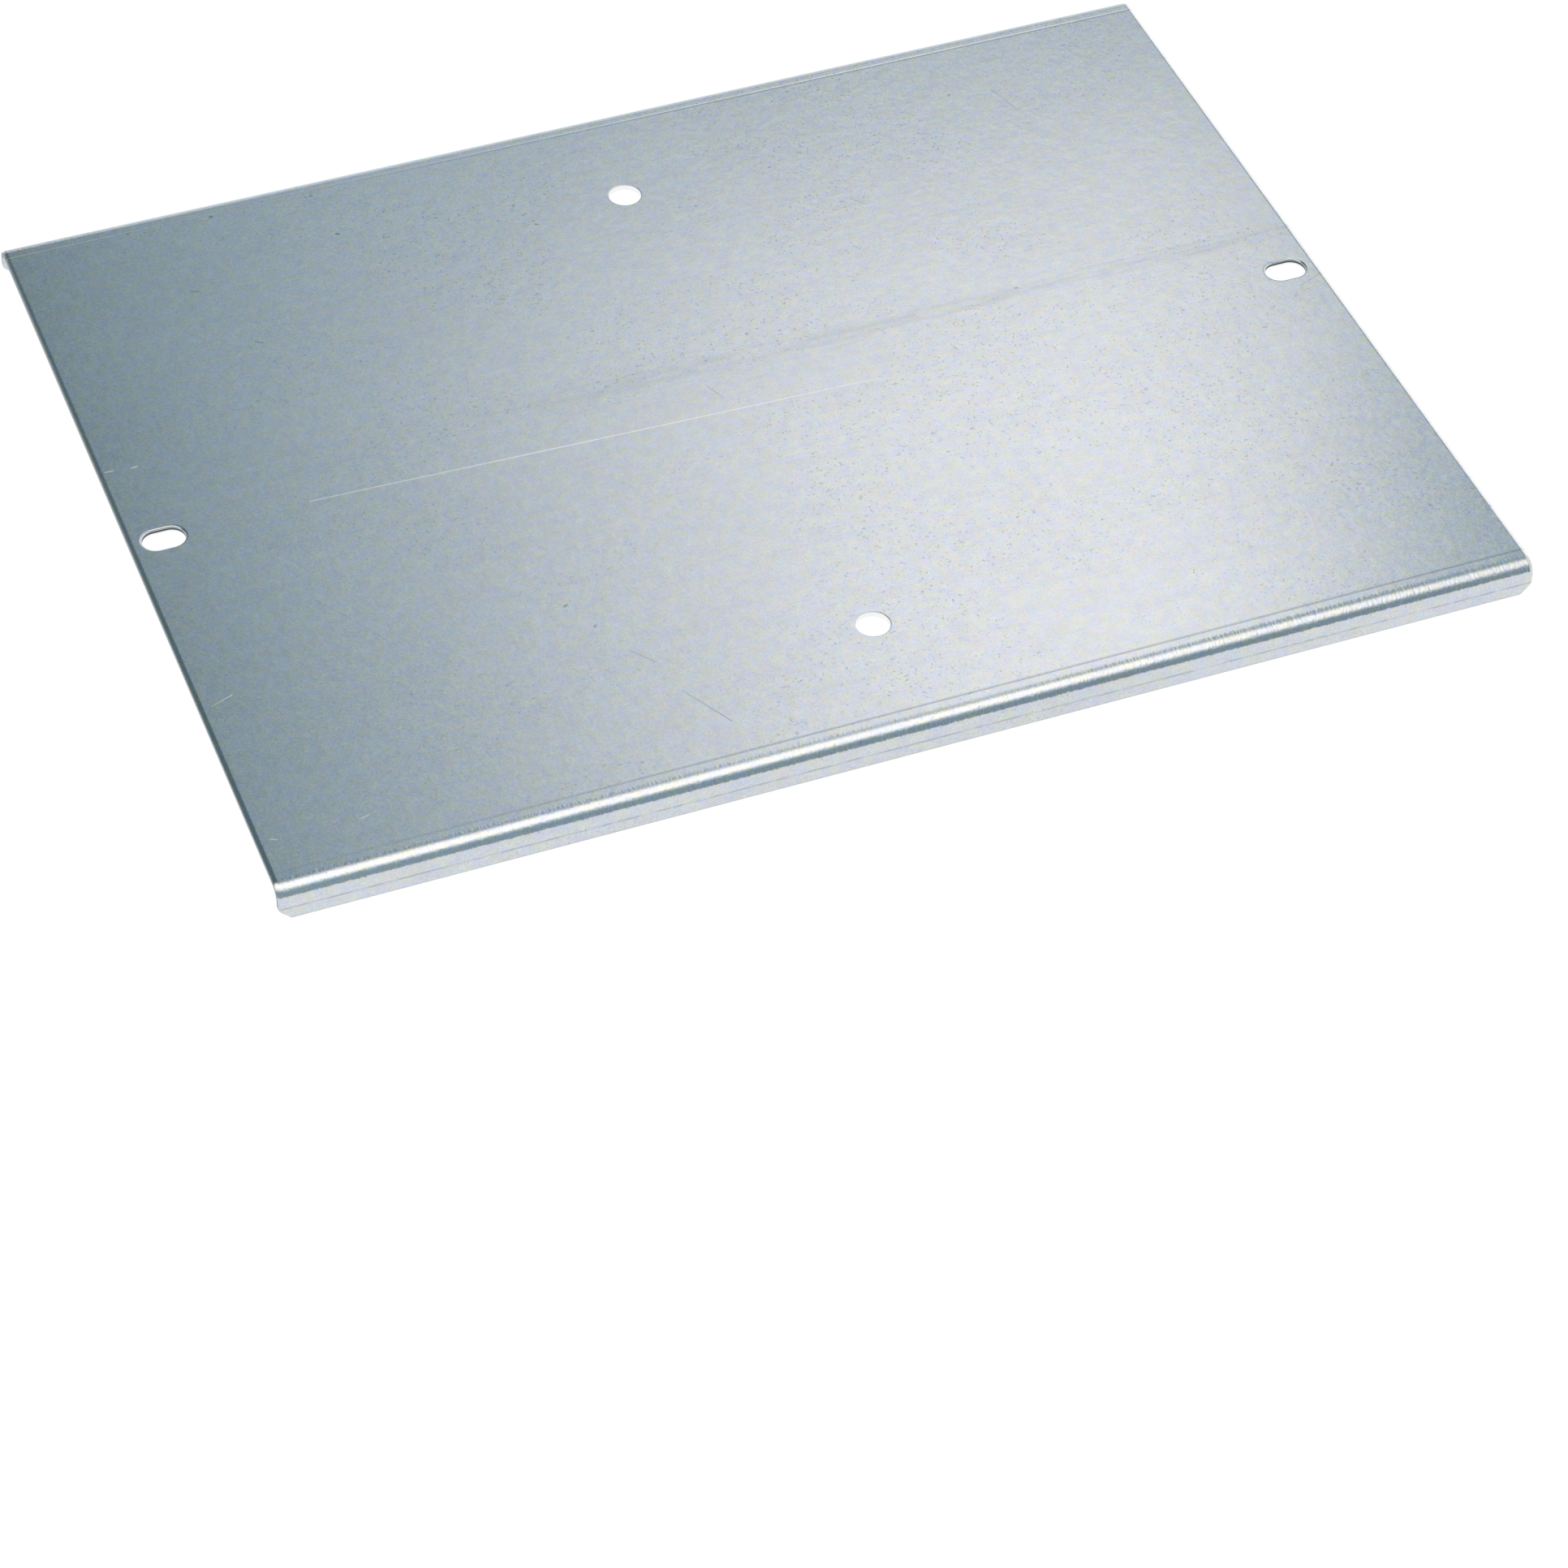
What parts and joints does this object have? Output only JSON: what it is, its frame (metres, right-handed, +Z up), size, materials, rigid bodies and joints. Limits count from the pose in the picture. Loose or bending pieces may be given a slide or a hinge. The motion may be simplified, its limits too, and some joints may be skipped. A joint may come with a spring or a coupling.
{
  "type": "sealing plate",
  "caption": "Flat zinc-coated steel sealing plate with both long edges folded down as short flanges, round fixing holes front and back and oblong fixing holes at the ends.",
  "frame": {"origin": "middle of the footprint, level with the lower edges of the two flanges that the plate stands on", "axes": "+X along the folds, +Y across them towards the back, +Z up, out of the panel's top face"},
  "size_m": [0.3, 0.2324, 0.0087],
  "materials": {
    "zinc_coated_steel": "hot-dip zinc coating with a fine, faint spangle and light handling scratches"
  },
  "bodies": {
    "root": {"sealing_plate": "zinc_coated_steel"}
  },
  "joints": []
}
